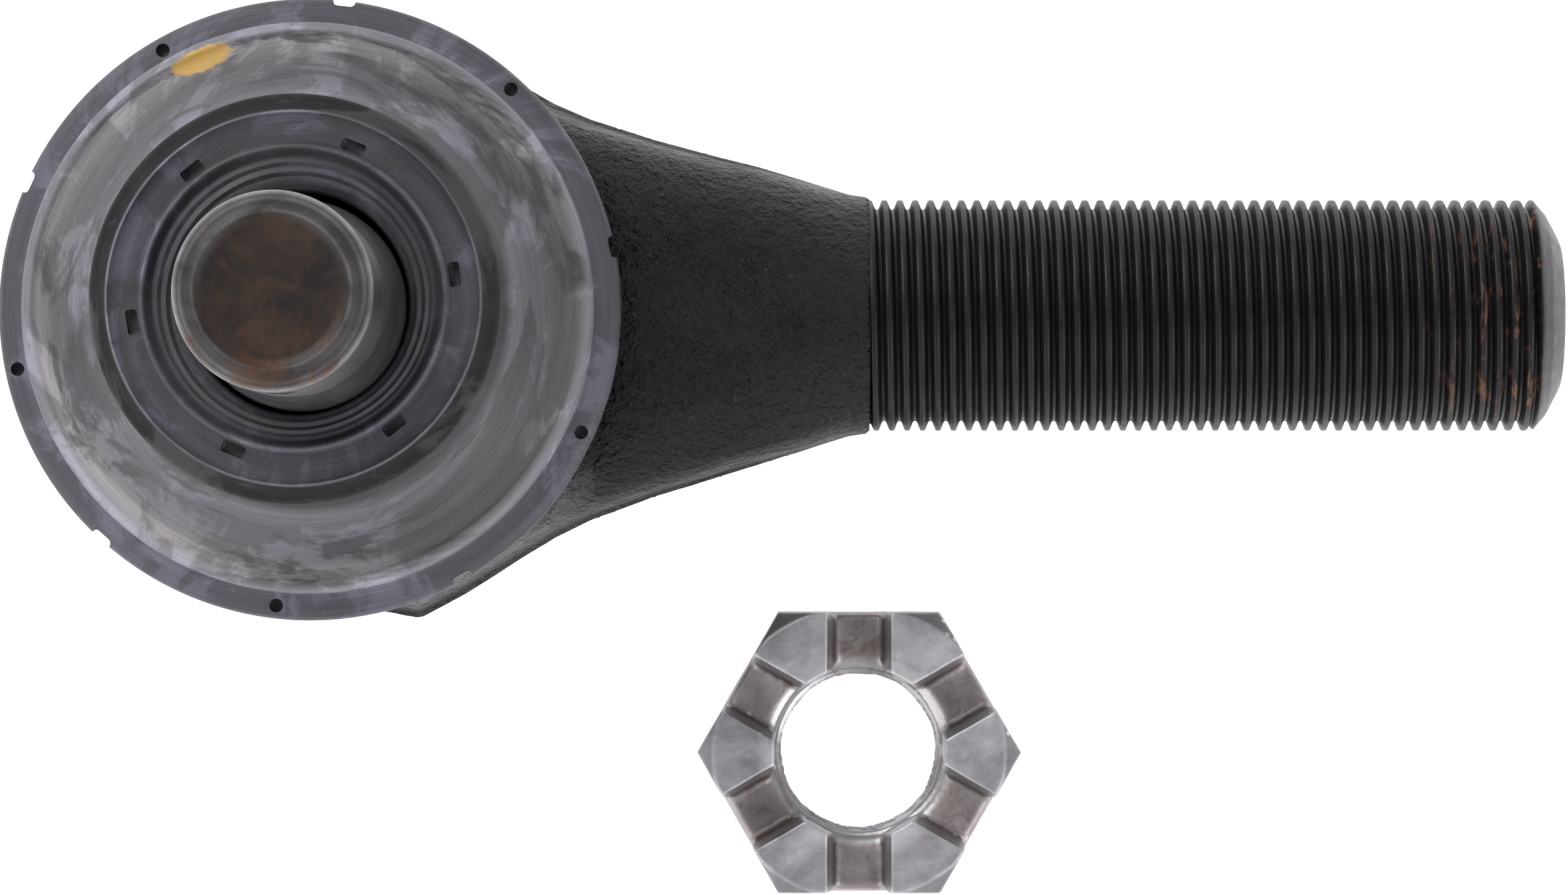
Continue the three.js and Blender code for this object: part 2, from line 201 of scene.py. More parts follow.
def smooth_outline(points, steps=6):
    """A curve through the points (Catmull-Rom), for soft rubber shapes."""
    p = np.array([points[0], *points, points[-1]], dtype=float)
    out = []
    for a, b, c, d in zip(p, p[1:], p[2:], p[3:]):
        for t in np.linspace(0, 1, steps, endpoint=False):
            out.append(tuple(0.5 * (2 * b + (c - a) * t + (2 * a - 5 * b + 4 * c - d) * t * t
                                    + (3 * b - a - 3 * c + d) * t ** 3)))
    return out + [tuple(points[-1])]


def turned(name, outline, sides=256, centre=(0, 0)):
    """An outline turned about an upright axis. It starts and ends on the axis, or closes."""
    count = len(outline)
    angles = np.arange(sides) * 2 * math.pi / sides
    points = [(centre[0] + r * math.cos(a), centre[1] + r * math.sin(a), z)
              for a in angles for r, z in outline]
    on_axis = outline[0][0] == 0
    faces = []
    for i in range(sides):
        k = (i + 1) % sides
        for j in range(count - 1 if on_axis else count):
            n = (j + 1) % count
            faces.append((i * count + j, k * count + j, k * count + n, i * count + n))
    return weld(new_object(name, points, faces))


def cut(piece, cutters):
    """Takes the cutters out of the piece and removes them."""
    for cutter in cutters:
        modifier = piece.modifiers.new("cut", "BOOLEAN")
        modifier.operation = "DIFFERENCE"
        modifier.solver = "EXACT"
        modifier.object = cutter
    apply_modifiers(piece)
    for cutter in cutters:
        bpy.data.objects.remove(cutter)
    return piece


def join(piece, others):
    """Adds the others' meshes to the piece."""
    bm = bmesh.new()
    for each in (piece, *others):
        bm.from_mesh(each.data)
    bm.to_mesh(piece.data)
    bm.free()
    for other in others:
        bpy.data.objects.remove(other)


def apply_modifiers(piece):
    depsgraph = bpy.context.evaluated_depsgraph_get()
    mesh = bpy.data.meshes.new_from_object(piece.evaluated_get(depsgraph))
    piece.modifiers.clear()
    piece.data = mesh


def shade(piece, angle=35):
    """Smooth faces, with edges sharper than the angle left crisp."""
    piece.data.polygons.foreach_set("use_smooth", [True] * len(piece.data.polygons))
    piece.data.set_sharp_from_angle(angle=math.radians(angle))


def rounded_block(name, size, place, degrees, radius, segments=3):
    """A box with rounded edges, its centre at place (radius, height), facing the Z axis."""
    bm = bmesh.new()
    bmesh.ops.create_cube(bm, size=1)
    bmesh.ops.scale(bm, vec=size, verts=bm.verts)
    bmesh.ops.bevel(bm, geom=bm.edges[:], offset=radius, segments=segments, affect="EDGES",
                    profile=0.5)
    turn = math.radians(degrees)
    c, s = math.cos(turn), math.sin(turn)
    points = [((v.co.x + place[0]) * c - v.co.y * s, (v.co.x + place[0]) * s + v.co.y * c,
               v.co.z + place[1]) for v in bm.verts]
    faces = [[v.index for v in f.verts] for f in bm.faces]
    bm.free()
    return new_object(name, points, faces)


def carve(name, distance, low, high, step):
    """The surface where distance(x, y, z) is zero, as a closed mesh of quads (surface nets)."""
    axes = [np.arange(a - 2 * step, b + 2.5 * step, step) for a, b in zip(low, high)]
    grid = np.meshgrid(*axes, indexing="ij")
    field = distance(*grid).astype(np.float32)
    cells = tuple(n - 1 for n in field.shape)
    total = np.zeros(cells + (3,), dtype=np.float32)
    count = np.zeros(cells, dtype=np.float32)
    crossings = []
    for axis in range(3):
        tail = np.take(field, range(field.shape[axis] - 1), axis)
        head = np.take(field, range(1, field.shape[axis]), axis)
        crossing = (tail < 0) != (head < 0)
        share = np.where(crossing, tail / np.where(crossing, tail - head, 1), 0)
        place = np.stack([np.take(g, range(g.shape[axis] - 1), axis) for g in grid], -1)
        place[..., axis] += share * step
        place[~crossing] = 0
        others = [a for a in range(3) if a != axis]
        for shift in itertools.product((0, 1), (0, 1)):
            window = [slice(None)] * 3
            for other, s in zip(others, shift):
                window[other] = slice(s, s + cells[other])
            total += place[tuple(window)]
            count += crossing[tuple(window)]
        crossings.append((axis, others, crossing, tail < 0))
    used = count > 0
    index = np.full(cells, -1)
    index[used] = np.arange(used.sum())
    points = total[used] / count[used][:, None]
    faces = []
    for axis, others, crossing, inside in crossings:
        edges = np.argwhere(crossing)
        keep = np.all([(edges[:, o] > 0) & (edges[:, o] < cells[o]) for o in others], axis=0)
        edges = edges[keep]
        corners = []
        for a, b in ((-1, -1), (0, -1), (0, 0), (-1, 0)):
            cell = edges.copy()
            cell[:, others[0]] += a
            cell[:, others[1]] += b
            corners.append(index[tuple(cell.T)])
        quads = np.stack(corners, 1)
        flip = inside[tuple(edges.T)] != (axis != 1)
        quads[flip] = quads[flip][:, ::-1]
        faces.append(quads)
    return new_object(name, settle(points, distance, step), np.concatenate(faces))


def settle(points, distance, step, rounds=3):
    """Moves points along the field's slope onto its zero, by at most half a step."""
    start = points.astype(float)
    p = start.copy()
    nudge = step * 0.2
    for _ in range(rounds):
        value = distance(*p.T)
        slope = np.stack([(distance(*(p + d).T) - distance(*(p - d).T)) / (2 * nudge)
                          for d in np.eye(3) * nudge], 1)
        size = np.maximum((slope ** 2).sum(1), 0.2)
        p -= slope * (value / size)[:, None]
        move = p - start
        far = np.maximum(np.linalg.norm(move, axis=1) / (0.5 * step), 1)
        p = start + move / far[:, None]
    return p


def smooth_max(a, b, k):
    h = np.clip(0.5 + 0.5 * (a - b) / k, 0, 1)
    return b + (a - b) * h + k * h * (1 - h)


def smooth_min(a, b, k):
    return -smooth_max(-a, -b, k)


def ripple(x, y, z, scale):
    """A slow uneven swell, from -1 to 1, such as a hammer or die leaves."""
    a = np.sin(x / scale + 1.3 * np.sin(y / scale * 0.7)) * np.cos(z / scale * 1.1 + x / scale)
    b = np.sin(y / scale * 1.3 + 2.1 + np.cos(z / scale * 0.9)) * np.cos(x / scale * 0.53 + 0.4)
    return 0.5 * (a + b)


def threaded(radius, pitch, start, end, tip_outline, root_fade, tip_smooth, columns=144, rows=12):
    """A bolt's thread about Z from start to end. tip_outline limits the radius near the end,
    and the last tip_smooth of the length has no groove.

    The rows follow the helix, so the crests' edges stay crisp."""
    depth = THREAD_DEPTH * pitch
    dz = pitch / rows
    total = int((end - start) / dz) + 4 * rows
    i, j = np.meshgrid(np.arange(total), np.arange(columns), indexing="ij")
    raw = start - 2 * pitch + i * dz + pitch * j / columns
    phase = (i % rows) / rows
    flank = np.clip((np.abs(phase - 0.5) - 0.07) / 0.31, 0, 1)
    groove = depth * (0.5 - 0.5 * np.cos(math.pi * (1 - flank)))
    z = np.clip(raw, start, end)
    fade = np.clip((z - start) / root_fade, 0, 1) ** 0.7
    fade *= np.clip((end - tip_smooth - z) / (0.5 * pitch), 0, 1)
    limit = np.interp(z, [p[1] for p in tip_outline], [p[0] for p in tip_outline])
    r = np.minimum(radius - groove * fade, limit)
    r = np.where((raw < start - dz) | (raw > end + dz), 0, r)
    angle = 2 * math.pi * j / columns
    points = np.stack([r * np.cos(angle), r * np.sin(angle), z], -1).reshape(-1, 3)
    faces = []
    for a in range(total - 1):
        for b in range(columns - 1):
            faces.append((a * columns + b, a * columns + b + 1,
                          (a + 1) * columns + b + 1, (a + 1) * columns + b))
        if a + rows + 1 < total:
            last = columns - 1
            faces.append((a * columns + last, (a + rows) * columns,
                          (a + rows + 1) * columns, (a + 1) * columns + last))
    return points, faces


# ---- materials ----------------------------------------------------------------------------


class Look:
    """A material being built: each method adds a node and returns its output."""

    def __init__(self, name, roughness, metallic=0.0):
        self.material = bpy.data.materials.new(name)
        self.material.use_nodes = True
        self.tree = self.material.node_tree
        self.shader = self.tree.nodes["Principled BSDF"]
        self.shader.inputs["Metallic"].default_value = metallic
        self.shader.inputs["Roughness"].default_value = roughness
        geometry = self.tree.nodes.new("ShaderNodeNewGeometry")
        coordinates = self.tree.nodes.new("ShaderNodeTexCoord")
        self.place = coordinates.outputs["Object"]
        self.facing = coordinates.outputs["Normal"]
        self.edges = geometry.outputs["Pointiness"]

    def node(self, kind, **inputs):
        made = self.tree.nodes.new("ShaderNode" + kind)
        for name, value in inputs.items():
            self.feed(made.inputs[name.replace("_", " ")], value)
        return made

    def feed(self, socket, value):
        if isinstance(value, bpy.types.NodeSocket):
            self.tree.links.new(value, socket)
        else:
            socket.default_value = value

    def noise(self, scale, detail=4, roughness=0.55, distortion=0.0, vector=None):
        made = self.node("TexNoise", Vector=vector or self.place, Scale=scale, Detail=detail,
                         Roughness=roughness, Distortion=distortion)
        return made.outputs["Fac"]

    def stored(self, name):
        """A vector kept on the mesh's points."""
        made = self.tree.nodes.new("ShaderNodeAttribute")
        made.attribute_name = name
        return made.outputs["Vector"]

    def stretch(self, scale, vector=None):
        made = self.node("Mapping", Vector=vector or self.place)
        made.inputs["Scale"].default_value = scale
        return made.outputs["Vector"]

    def ramp(self, value, *stops):
        """Stops are (position, number or colour)."""
        made = self.node("ValToRGB", Fac=value)
        elements = made.color_ramp.elements
        while len(elements) < len(stops):
            elements.new(0.5)
        for element, (position, shade_of) in zip(elements, stops):
            element.position = position
            if isinstance(shade_of, (int, float)):
                shade_of = (shade_of,) * 3
            element.color = (*shade_of, 1)
        return made.outputs["Color"]

    def mix(self, share, a, b, blend="MIX"):
        made = self.tree.nodes.new("ShaderNodeMix")
        made.data_type = "RGBA"
        made.blend_type = blend
        self.feed(made.inputs["Factor"], share)
        for socket, value in ((made.inputs["A"], a), (made.inputs["B"], b)):
            for candidate in made.inputs:
                if candidate.name == socket.name and candidate.type == "RGBA":
                    socket = candidate
            self.feed(socket, value if isinstance(value, bpy.types.NodeSocket) else (*value, 1))
        return [o for o in made.outputs if o.type == "RGBA"][0]

    def math(self, operation, a, b=0.0, clamp=False):
        made = self.tree.nodes.new("ShaderNodeMath")
        made.operation = operation
        made.use_clamp = clamp
        self.feed(made.inputs[0], a)
        self.feed(made.inputs[1], b)
        return made.outputs[0]

    def between(self, value, low, high, to_low=0.0, to_high=1.0):
        made = self.node("MapRange", Value=value)
        for name, number in (("From Min", low), ("From Max", high),
                             ("To Min", to_low), ("To Max", to_high)):
            made.inputs[name].default_value = number
        return made.outputs["Result"]

    def axis(self, index, vector=None):
        made = self.node("SeparateXYZ", Vector=vector or self.place)
        return made.outputs[index]

    def offset(self, index):
        """Millimetres from the ball's centre along X, Y or Z."""
        return self.math("MULTIPLY", self.math("SUBTRACT", self.axis(index), BALL[index]), 1 / MM)

    def radius(self, centre=(0.0, 0.0)):
        """Millimetres from the upright axis through centre."""
        x = self.math("SUBTRACT", self.offset(0), centre[0])
        y = self.math("SUBTRACT", self.offset(1), centre[1])
        squares = self.math("ADD", self.math("MULTIPLY", x, x), self.math("MULTIPLY", y, y))
        return self.math("SQRT", squares)

    def all_of(self, *masks):
        """Where every mask holds."""
        product = masks[0]
        for mask in masks[1:]:
            product = self.math("MULTIPLY", product, mask, clamp=True)
        return product

    def rings(self, radius, across, around):
        """Coordinates for noise drawn out along circles: radius is in millimetres."""
        made = self.tree.nodes.new("ShaderNodeCombineXYZ")
        for index, name in enumerate("XY"):
            self.feed(made.inputs[name], self.math("MULTIPLY", self.axis(index), around))
        self.feed(made.inputs["Z"], self.math("MULTIPLY", radius, across))
        return made.outputs[0]

    def bump(self, height, strength, distance, normal=None):
        made = self.node("Bump", Height=height, Strength=strength, Distance=distance)
        if normal is not None:
            self.feed(made.inputs["Normal"], normal)
        return made.outputs["Normal"]

    def finish(self, color, roughness, normal=None):
        self.feed(self.shader.inputs["Base Color"], color)
        self.feed(self.shader.inputs["Roughness"], roughness)
        if normal is not None:
            self.feed(self.shader.inputs["Normal"], normal)
        return self.material


# Where the wear on the near flank fades in and out, along Z and X.
WORN_FLANK_LOW = (-1, 10)
WORN_FLANK_START = (-2, 8)
WORN_FLANK_END = (40, 31)


def black_paint():
    """Satin paint over a forged skin: pebbled grain, thin edges, worn thin on the near flank."""
    look = Look("forging_paint", 0.5)
    grain = look.noise(1150, 3, 0.6)
    skin = look.noise(420, 4, 0.65)
    broad = look.noise(75, 5, 0.6, 0.5)
    color = look.mix(look.between(broad, 0.38, 0.64), (0.0028, 0.0023, 0.0030), (0.0100, 0.0086, 0.0105))
    pits = look.between(skin, 0.36, 0.62)
    color = look.mix(look.math("MULTIPLY", pits, 0.6), color, (0.0125, 0.0108, 0.0135))
    worn = look.between(look.math("ADD", look.edges, look.math("MULTIPLY", grain, 0.03)),
                        0.56, 0.62)
    color = look.mix(look.math("MULTIPLY", worn, 0.7), color, (0.09, 0.085, 0.085))
    specks = look.between(look.noise(700, 2, 0.5), 0.70, 0.76)
    color = look.mix(look.math("MULTIPLY", specks, 0.35), color, (0.10, 0.075, 0.06))
    flank = look.all_of(look.between(look.axis(2, look.facing), 0.93, 0.80),
                        look.between(look.axis(1, look.facing), -0.25, -0.45),
                        look.between(look.offset(2), *WORN_FLANK_LOW),
                        look.between(look.offset(0), *WORN_FLANK_START),
                        look.between(look.offset(0), *WORN_FLANK_END))
    flakes = look.between(look.noise(420, 6, 0.75, 0.4), 0.36, 0.56, 0.25, 1.0)
    patches = look.between(look.noise(55, 4, 0.6, 0.8), 0.38, 0.54, 0.3, 1.0)
    color = look.mix(look.all_of(flank, flakes, patches), color, (0.145, 0.137, 0.142))
    look.shader.inputs["Specular IOR Level"].default_value = 0.22
    roughness = look.between(broad, 0.3, 0.7, 0.28, 0.48)
    normal = look.bump(look.noise(170, 3, 0.55), 0.7, 0.0016)
    normal = look.bump(skin, 1.0, 0.0018, normal)
    normal = look.bump(grain, 1.0, 0.0011, normal)
    return look.finish(color, roughness, normal)


def thread_paint():
    """The same paint on the thread, thin on the crests, with rust near the tip."""
    look = Look("thread_paint", 0.4)
    grain = look.noise(600, 4)
    color = look.mix(grain, (0.0045, 0.0039, 0.0048), (0.0105, 0.0092, 0.0112))
    crest = look.between(look.math("ADD", look.edges, look.math("MULTIPLY", grain, 0.04)),
                         0.56, 0.68)
    color = look.mix(look.math("MULTIPLY", crest, 0.8), color, (0.046, 0.041, 0.047))
    x = look.offset(0)
    tip = look.between(x, SHANK_END_X - 22, SHANK_END_X - 6)
    around = look.stretch((700, 170, 170))
    spots = look.between(look.noise(1.0, 5, 0.7, 0.5, vector=around), 0.56, 0.66)
    rust = look.math("MULTIPLY", look.math("MULTIPLY", spots, tip), 0.85, clamp=True)
    rust_color = look.mix(look.noise(900, 3), (0.10, 0.035, 0.015), (0.30, 0.15, 0.08))
    color = look.mix(rust, color, rust_color)
    flat = look.between(x, SHANK_END_X - 3.6, SHANK_END_X - 3.0)
    color = look.mix(look.math("MULTIPLY", flat, 0.8), color, (0.075, 0.074, 0.080))
    look.shader.inputs["Specular IOR Level"].default_value = 0.28
    roughness = look.between(grain, 0.3, 0.7, 0.36, 0.52)
    return look.finish(color, roughness, look.bump(grain, 0.3, 0.0002))


# Radii that the boot's ramps of colour, painted shade and painted highlights run between.
SKIRT_SPAN = (24, 42)
COLLAR_SPAN = (14, 27)


def boot_rubber(name="boot_rubber"):
    """Black rubber under a pale bloom, smeared and wiped off along the rings of the moulding, with painted
    shade and highlights on its rings and painted shade on one side.
    """
    look = Look(name, 0.6)
    look.place = look.stored(REST_PLACE)
    r, collar_r, z = look.radius(RIM_SHIFT), look.radius(COLLAR_SHIFT), look.offset(2)
    # Skirt ramp: painted shadow at the collar's foot, a paler band beyond it, a painted highlight on the
    # brownish bead, and painted shade darkening towards the rim.
    skirt_color_and_shading = look.ramp(
        look.between(r, *SKIRT_SPAN),
        (0.15, (0.030, 0.030, 0.034)), (0.22, (0.118, 0.116, 0.129)),
        (0.36, (0.089, 0.086, 0.095)), (0.48, (0.094, 0.090, 0.097)), (0.56, (0.100, 0.095, 0.096)),
        (0.68, (0.180, 0.170, 0.170)), (0.76, (0.178, 0.172, 0.190)), (0.815, (0.110, 0.108, 0.126)),
        (0.90, (0.066, 0.065, 0.079)), (1.00, (0.040, 0.040, 0.048)))
    # Collar ramp: painted shade in the lip's hole, in the grooves and on the rounded outer edge, and
    # painted highlights on the ridge at r 20.1 and the top bead near r 24.8.
    collar_color_and_shading = look.ramp(
        look.between(collar_r, *COLLAR_SPAN),
        (0.0, (0.015, 0.015, 0.018)), (0.30, (0.044, 0.044, 0.053)), (0.41, (0.028, 0.028, 0.035)),
        (0.47, (0.100, 0.100, 0.118)), (0.52, (0.038, 0.038, 0.047)), (0.70, (0.052, 0.052, 0.063)),
        (0.81, (0.040, 0.040, 0.049)), (0.835, (0.095, 0.095, 0.110)), (0.86, (0.016, 0.016, 0.018)),
        (0.97, (0.010, 0.010, 0.011)))
    on_collar = look.between(z, COLLAR_LOW.z - 0.2, COLLAR_LOW.z + 0.3)
    color = look.mix(on_collar, skirt_color_and_shading, collar_color_and_shading)
    # Painted shade: the dish between the bead and the collar is darker on the +X, -Y side, away from the
    # key light.
    shaded_side = look.between(look.math("SUBTRACT", look.math("MULTIPLY", look.offset(0), 0.87),
                                     look.math("MULTIPLY", look.offset(1), 0.50)), 6, 28)
    groove = look.ramp(look.between(r, *SKIRT_SPAN), (0.42, 0.0), (0.53, 1.0), (0.68, 0.9), (0.77, 0.0))
    color = look.mix(look.math("MULTIPLY", look.all_of(shaded_side, groove), 0.62), color,
                     (0.048, 0.046, 0.050))
    smear = look.noise(42, 9, 0.70, 1.9)
    pale = look.between(smear, 0.50, 0.57)
    # The collar's outer edge keeps its painted shade: the pale bloom is left off it.
    ring_edge = look.all_of(on_collar, look.between(collar_r, 24.9, 25.2))
    rubbed = look.math("SUBTRACT", look.math("MULTIPLY", pale, 0.70), ring_edge, clamp=True)
    color = look.mix(rubbed, color, (1.95, 1.95, 2.05), blend="MULTIPLY")
    wiped = look.between(look.noise(1.0, 6, 0.62, 1.1, vector=look.rings(r, 0.15, 42)), 0.49, 0.57)
    on_skirt = look.between(r, 38.6, 36.9)
    color = look.mix(look.math("MULTIPLY", look.all_of(wiped, on_skirt), 0.78), color,
                     (0.042, 0.040, 0.043))
    brushed = look.noise(1.0, 4, 0.6, vector=look.rings(r, 3.2, 60))
    color = look.mix(look.between(brushed, 0.35, 0.70), color, (1.35, 1.35, 1.38), blend="MULTIPLY")
    dust = look.between(look.noise(240, 8, 0.8, 0.6), 0.60, 0.74)
    color = look.mix(look.math("MULTIPLY", dust, 0.18), color, (0.30, 0.30, 0.32))
    color = look.mix(paint_dab(look), color, (0.60, 0.36, 0.075))
    look.shader.inputs["Specular IOR Level"].default_value = 0.42
    roughness = look.between(look.math("SUBTRACT", smear, look.math("MULTIPLY", wiped, 0.15)),
                             0.3, 0.7, 0.40, 0.66)
    roughness = look.math("ADD", roughness, look.math("MULTIPLY", ring_edge, 0.4), clamp=True)
    normal = look.bump(smear, 0.2, 0.0006)
    normal = look.bump(brushed, 0.25, 0.00015, normal)
    fine = look.noise(900, 5, 0.7)
    return look.finish(color, roughness, look.bump(fine, 0.3, 0.0001, normal))


def paint_dab(look):
    """An inspector's brush mark on the skirt's bead: how much of it covers each point."""
    x0, y0 = at(DAB_R, DAB_DEGREES)
    turn = math.radians(DAB_DEGREES + 90)
    x = look.math("SUBTRACT", look.offset(0), x0)
    y = look.math("SUBTRACT", look.offset(1), y0)
    along = look.math("ADD", look.math("MULTIPLY", x, math.cos(turn)),
                      look.math("MULTIPLY", y, math.sin(turn)))
    across = look.math("SUBTRACT", look.math("MULTIPLY", y, math.cos(turn)),
                       look.math("MULTIPLY", x, math.sin(turn)))
    u = look.math("MULTIPLY", along, 1 / DAB_SIZE[0])
    v = look.math("MULTIPLY", across, 1 / DAB_SIZE[1])
    reach = look.math("ADD", look.math("MULTIPLY", u, u), look.math("MULTIPLY", v, v))
    streaks = look.noise(1.0, 4, 0.7, vector=look.stretch((500, 900, 500)))
    reach = look.math("ADD", reach, look.math("MULTIPLY", streaks, 1.6))
    return look.between(reach, 1.9, 1.45, 0.0, 0.85)


def bare_steel(name, base, tint, roughness, rust_share, scale=1.0):
    """Steel with a dull oxide skin, bright worn edges, dark brown painted shade in its corners and spots of
    rust.
    """
    look = Look(name, roughness, metallic=0.6)
    cloud = look.noise(70 * scale, 6, 0.6, 0.4)
    fine = look.noise(600 * scale, 4, 0.65)
    color = look.mix(look.between(cloud, 0.35, 0.65), base, tint)
    worn = look.between(look.math("ADD", look.edges, look.math("MULTIPLY", fine, 0.03)),
                        0.56, 0.63)
    color = look.mix(look.math("MULTIPLY", worn, 0.8), color, (0.62, 0.61, 0.60))
    # Painted shade: dark brown where the surface is hollow, in its corners.
    corner_shade = look.between(look.math("ADD", look.edges, look.math("MULTIPLY", cloud, 0.05)),
                         0.515, 0.455)
    color = look.mix(look.math("MULTIPLY", corner_shade, 0.75), color, (0.050, 0.036, 0.028))
    spots = look.between(look.noise(140 * scale, 7, 0.72, 0.8), 0.62 - rust_share, 0.72 - rust_share)
    rust = look.mix(fine, (0.10, 0.035, 0.012), (0.25, 0.10, 0.035))
    color = look.mix(look.math("MULTIPLY", spots, 0.75), color, rust)
    look.feed(look.shader.inputs["Metallic"], look.between(spots, 0, 1, 0.6, 0.2))
    rough = look.between(cloud, 0.3, 0.7, roughness - 0.08, roughness + 0.12)
    rough = look.math("ADD", rough, look.math("MULTIPLY", spots, 0.3), clamp=True)
    normal = look.bump(cloud, 0.25, 0.0006)
    return look.finish(color, rough, look.bump(fine, 0.35, 0.00015, normal))


def stud_steel():
    """Dark phosphated steel: brown end face, painted highlight rings on the bevel round it, brighter thread
    crests.
    """
    look = Look("stud_steel", 0.4, metallic=0.12)
    cloud = look.noise(90, 6, 0.6, 0.6)
    fine = look.noise(650, 4, 0.65)
    r, z = look.radius(), look.offset(2)
    color = look.mix(look.between(cloud, 0.36, 0.64), (0.012, 0.0105, 0.0105), (0.028, 0.0250, 0.0250))
    at_end = look.between(z, STUD_END_Z - 2.6, STUD_END_Z - 2.2)
    # Painted highlights: thin bright rings on the rounded edges of the end's bevel, broken up in patches.
    bevel = look.ramp(
        look.between(r, 8.5, 12.8),
        (0.0, 0.0), (0.26, 0.10), (0.34, 0.45), (0.42, 0.2), (0.62, 0.10), (0.74, 0.45),
        (0.80, 0.15), (0.93, 0.8))
    bevel = look.all_of(at_end, bevel, look.between(cloud, 0.36, 0.58, 0.20, 1.0))
    color = look.mix(bevel, color, (0.27, 0.258, 0.270))
    face = look.all_of(at_end, look.between(r, 9.9, 9.0))
    brown = look.mix(look.between(look.noise(120, 6, 0.7, 1.0), 0.40, 0.66),
                     (0.025, 0.021, 0.021), (0.060, 0.038, 0.029))
    color = look.mix(look.math("MULTIPLY", face, 0.92), color, brown)
    worn = look.between(look.math("ADD", look.edges, look.math("MULTIPLY", fine, 0.03)),
                        0.56, 0.63)
    worn = look.math("MULTIPLY", worn, look.between(cloud, 0.36, 0.60, 0.15, 0.75))
    color = look.mix(worn, color, (0.50, 0.49, 0.49))
    near_end = look.between(z, STUD_END_Z - 9, STUD_END_Z - 1)
    near_side = look.between(look.offset(1), -3, -11, 0.0, 0.14)
    spots = look.between(look.math("ADD", look.noise(150, 7, 0.72, 0.8), near_side), 0.58, 0.70)
    rust = look.mix(fine, (0.040, 0.017, 0.008), (0.125, 0.056, 0.028))
    color = look.mix(look.math("MULTIPLY", look.all_of(spots, near_end), 0.7), color, rust)
    look.shader.inputs["Specular IOR Level"].default_value = 0.20
    rough = look.between(cloud, 0.3, 0.7, 0.30, 0.48)
    normal = look.bump(cloud, 0.3, 0.0008)
    return look.finish(color, rough, look.bump(fine, 0.35, 0.00015, normal))


